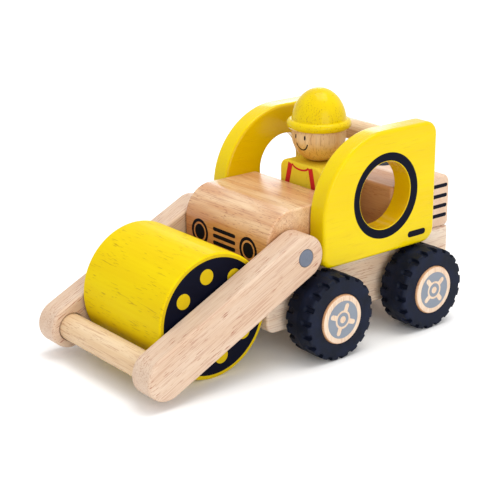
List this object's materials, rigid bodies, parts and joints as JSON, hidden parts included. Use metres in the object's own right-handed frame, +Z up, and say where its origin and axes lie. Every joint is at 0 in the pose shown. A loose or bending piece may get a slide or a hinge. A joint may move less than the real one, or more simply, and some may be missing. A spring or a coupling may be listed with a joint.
{
  "type": "toy road roller",
  "caption": "Wooden toy road roller with a hinged frame carrying a free-turning drum, rubber-tyred wheels, round-windowed side panels and a lift-out driver figure.",
  "frame": {"origin": "on the floor under the middle of the toy: half-way along its length, on its middle plane, at the height where tyres and drum touch the floor", "axes": "+X forward towards the drum, +Y to the driver's left, +Z up"},
  "size_m": [0.2268, 0.1214, 0.1346],
  "materials": {
    "natural_wood": "pale hardwood under a clear satin lacquer",
    "dowel_wood": "sanded dowel",
    "yellow_wood": "yellow gloss paint on wood, black printed marks",
    "yellow_drum_wood": "yellow stain with the open grain showing, black printed ends",
    "grey_painted_wood": "grey-blue satin paint on wood",
    "hub_wood": "turned pale wood with a grey print",
    "driver_paint": "yellow satin paint on wood with red printed straps",
    "head_wood": "turned bare wood with a small printed face",
    "helmet_paint": "yellow gloss paint on turned wood",
    "black_print": "blue-black screen-printed ink",
    "red_print": "red screen-printed ink",
    "grey_print": "grey-blue screen-printed ink",
    "tyre_rubber": "matt black moulded rubber"
  },
  "bodies": {
    "vehicle": {"chassis": "natural_wood", "hood_block": "natural_wood", "rear_block": "natural_wood", "block_dowels": "dowel_wood", "left_side_panel": "yellow_wood", "right_side_panel": "yellow_wood", "panel_dowels": "dowel_wood", "roof_bar": "natural_wood", "left_pivot_pin": "grey_painted_wood", "right_pivot_pin": "grey_painted_wood"},
    "front_wheelset": {"front_axle": "dowel_wood", "front_left_hub": "hub_wood", "front_right_hub": "hub_wood", "front_left_tyre": "tyre_rubber", "front_right_tyre": "tyre_rubber"},
    "rear_wheelset": {"rear_axle": "dowel_wood", "rear_left_hub": "hub_wood", "rear_right_hub": "hub_wood", "rear_left_tyre": "tyre_rubber", "rear_right_tyre": "tyre_rubber"},
    "roller_frame": {"left_arm": "natural_wood", "right_arm": "natural_wood", "front_crossbar": "natural_wood", "drum_axle": "dowel_wood"},
    "roller_drum": {"drum": "yellow_drum_wood"},
    "driver": {"driver_body": "driver_paint", "driver_head": "head_wood", "driver_helmet": "helmet_paint", "neck_dowel": "dowel_wood", "seat_peg": "dowel_wood"}
  },
  "joints": [
    {"name": "front_wheels_spin", "type": "hinge", "parent": "vehicle", "child": "front_wheelset", "pos_m": [-0.0069, 0, 0.0235], "axis": [0, 1, 0], "continuous": true},
    {"name": "rear_wheels_spin", "type": "hinge", "parent": "vehicle", "child": "rear_wheelset", "pos_m": [-0.0771, 0, 0.0235], "axis": [0, 1, 0], "continuous": true},
    {"name": "roller_frame_lift", "type": "hinge", "parent": "vehicle", "child": "roller_frame", "pos_m": [0.0121, 0, 0.0601], "axis": [0, -1, 0], "range_deg": [0, 95]},
    {"name": "drum_spin", "type": "hinge", "parent": "roller_frame", "child": "roller_drum", "pos_m": [0.0602, 0, 0.0344], "axis": [0, 1, 0], "continuous": true},
    {"name": "driver_lift", "type": "slide", "parent": "vehicle", "child": "driver", "axis": [0, 0, 1], "range_m": [0, 0.015]}
  ]
}
